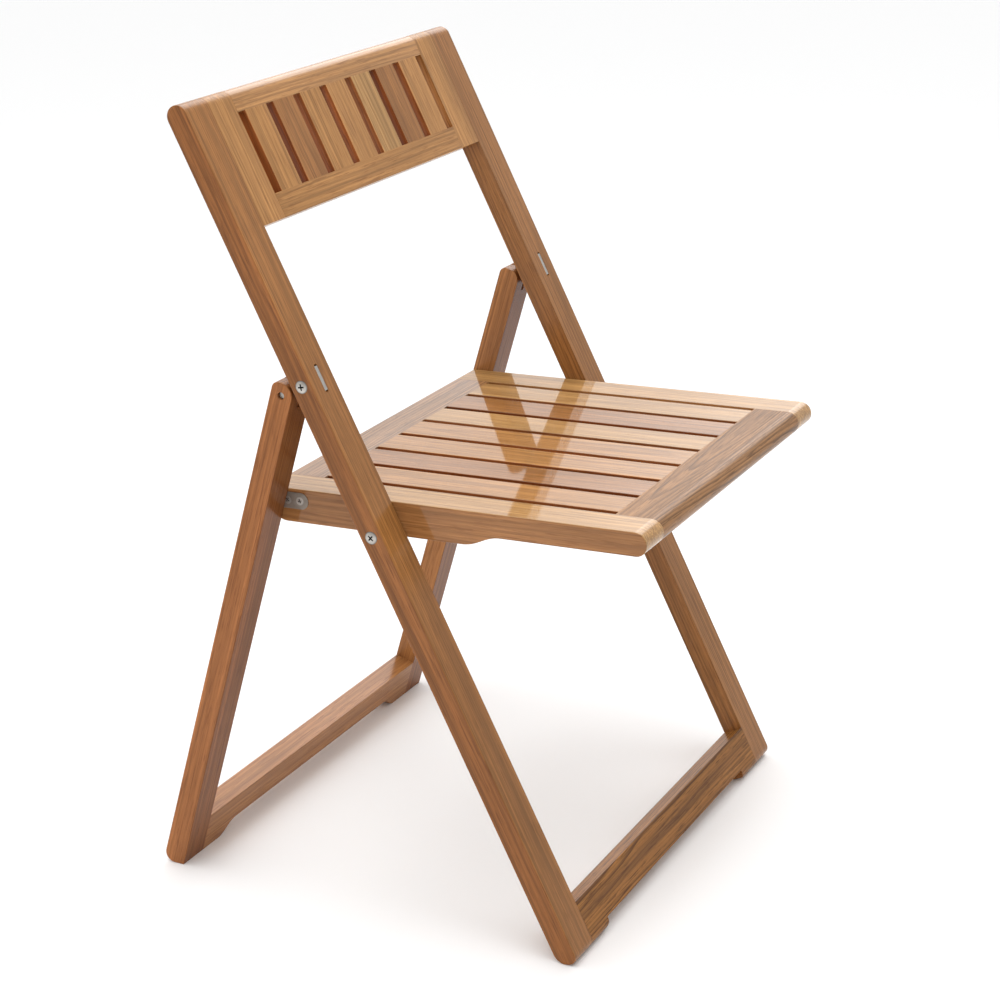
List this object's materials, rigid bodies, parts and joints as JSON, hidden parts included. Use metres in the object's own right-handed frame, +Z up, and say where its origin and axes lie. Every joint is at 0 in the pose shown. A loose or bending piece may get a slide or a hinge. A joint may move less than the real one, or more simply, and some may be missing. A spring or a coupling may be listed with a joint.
{
  "type": "folding chair",
  "caption": "Slatted wooden folding chair whose seat swings up and whose rear legs close flat against its long raked stiles.",
  "frame": {"origin": "on the floor, at the centre of the outline of the open chair", "axes": "+Z up, -Y towards the front of the chair, +X towards the sitter's left"},
  "size_m": [0.5246, 0.5269, 0.806],
  "materials": {
    "teak_back_bottom_rail": "clear varnish, satin to gloss",
    "teak_back_slat_1": "clear varnish, satin to gloss",
    "teak_back_slat_2": "clear varnish, satin to gloss",
    "teak_back_slat_3": "clear varnish, satin to gloss",
    "teak_back_slat_4": "clear varnish, satin to gloss",
    "teak_back_slat_5": "clear varnish, satin to gloss",
    "teak_back_slat_6": "clear varnish, satin to gloss",
    "teak_back_slat_7": "clear varnish, satin to gloss",
    "teak_back_top_rail": "clear varnish, satin to gloss",
    "teak_front_foot_rail": "clear varnish, satin to gloss",
    "teak_left_back_post": "clear varnish, satin to gloss",
    "stainless_fixings": "satin",
    "stainless_plate": "brushed",
    "brass": "machined",
    "nylon": "matt",
    "teak_left_rear_leg": "clear varnish, satin to gloss",
    "teak_left_seat_rail": "clear varnish, satin to gloss",
    "teak_left_stile": "clear varnish, satin to gloss",
    "teak_rear_foot_rail": "clear varnish, satin to gloss",
    "teak_right_back_post": "clear varnish, satin to gloss",
    "teak_right_rear_leg": "clear varnish, satin to gloss",
    "teak_right_seat_rail": "clear varnish, satin to gloss",
    "teak_right_stile": "clear varnish, satin to gloss",
    "teak_seat_front_rail": "clear varnish, satin to gloss",
    "teak_seat_rear_rail": "clear varnish, satin to gloss",
    "teak_seat_slat_1": "clear varnish, satin to gloss",
    "teak_seat_slat_2": "clear varnish, satin to gloss",
    "teak_seat_slat_3": "clear varnish, satin to gloss",
    "teak_seat_slat_4": "clear varnish, satin to gloss",
    "teak_seat_slat_5": "clear varnish, satin to gloss",
    "teak_seat_slat_6": "clear varnish, satin to gloss",
    "teak_seat_slat_7": "clear varnish, satin to gloss"
  },
  "bodies": {
    "frame": {"back_bottom_rail": "teak_back_bottom_rail", "back_slat_1": "teak_back_slat_1", "back_slat_2": "teak_back_slat_2", "back_slat_3": "teak_back_slat_3", "back_slat_4": "teak_back_slat_4", "back_slat_5": "teak_back_slat_5", "back_slat_6": "teak_back_slat_6", "back_slat_7": "teak_back_slat_7", "back_top_rail": "teak_back_top_rail", "front_foot_rail": "teak_front_foot_rail", "left_back_post": "teak_left_back_post", "left_hinge_plate": "stainless_plate", "left_hinge_screw": "stainless_fixings", "left_stile": "teak_left_stile", "right_back_post": "teak_right_back_post", "right_hinge_plate": "stainless_plate", "right_hinge_screw": "stainless_fixings", "right_stile": "teak_right_stile"},
    "seat": {"left_bracket_screws": "stainless_fixings", "left_guide_pin": "stainless_fixings", "left_pivot_insert": "brass", "left_pivot_washer": "nylon", "left_seat_bracket": "stainless_plate", "left_seat_pivot_screw": "stainless_fixings", "left_seat_rail": "teak_left_seat_rail", "right_bracket_screws": "stainless_fixings", "right_guide_pin": "stainless_fixings", "right_pivot_insert": "brass", "right_pivot_washer": "nylon", "right_seat_bracket": "stainless_plate", "right_seat_pivot_screw": "stainless_fixings", "right_seat_rail": "teak_right_seat_rail", "seat_front_rail": "teak_seat_front_rail", "seat_rear_rail": "teak_seat_rear_rail", "seat_slat_1": "teak_seat_slat_1", "seat_slat_2": "teak_seat_slat_2", "seat_slat_3": "teak_seat_slat_3", "seat_slat_4": "teak_seat_slat_4", "seat_slat_5": "teak_seat_slat_5", "seat_slat_6": "teak_seat_slat_6", "seat_slat_7": "teak_seat_slat_7"},
    "rear_frame": {"left_leg_pivot_pin": "stainless_fixings", "left_rear_leg": "teak_left_rear_leg", "rear_foot_rail": "teak_rear_foot_rail", "right_leg_pivot_pin": "stainless_fixings", "right_rear_leg": "teak_right_rear_leg"}
  },
  "joints": [
    {"name": "seat_fold", "type": "hinge", "parent": "frame", "child": "seat", "pos_m": [0, 0.00379, 0.40927], "axis": [-1, 0, 0], "range_deg": [0, 110]},
    {"name": "rear_leg_fold", "type": "hinge", "parent": "frame", "child": "rear_frame", "pos_m": [0, 0.10051, 0.5367], "axis": [-1, 0, 0], "range_deg": [0, 43.31]}
  ],
  "couplings": [
    {"joint": "rear_leg_fold", "follows": "seat_fold", "ratio": 0.39364}
  ]
}
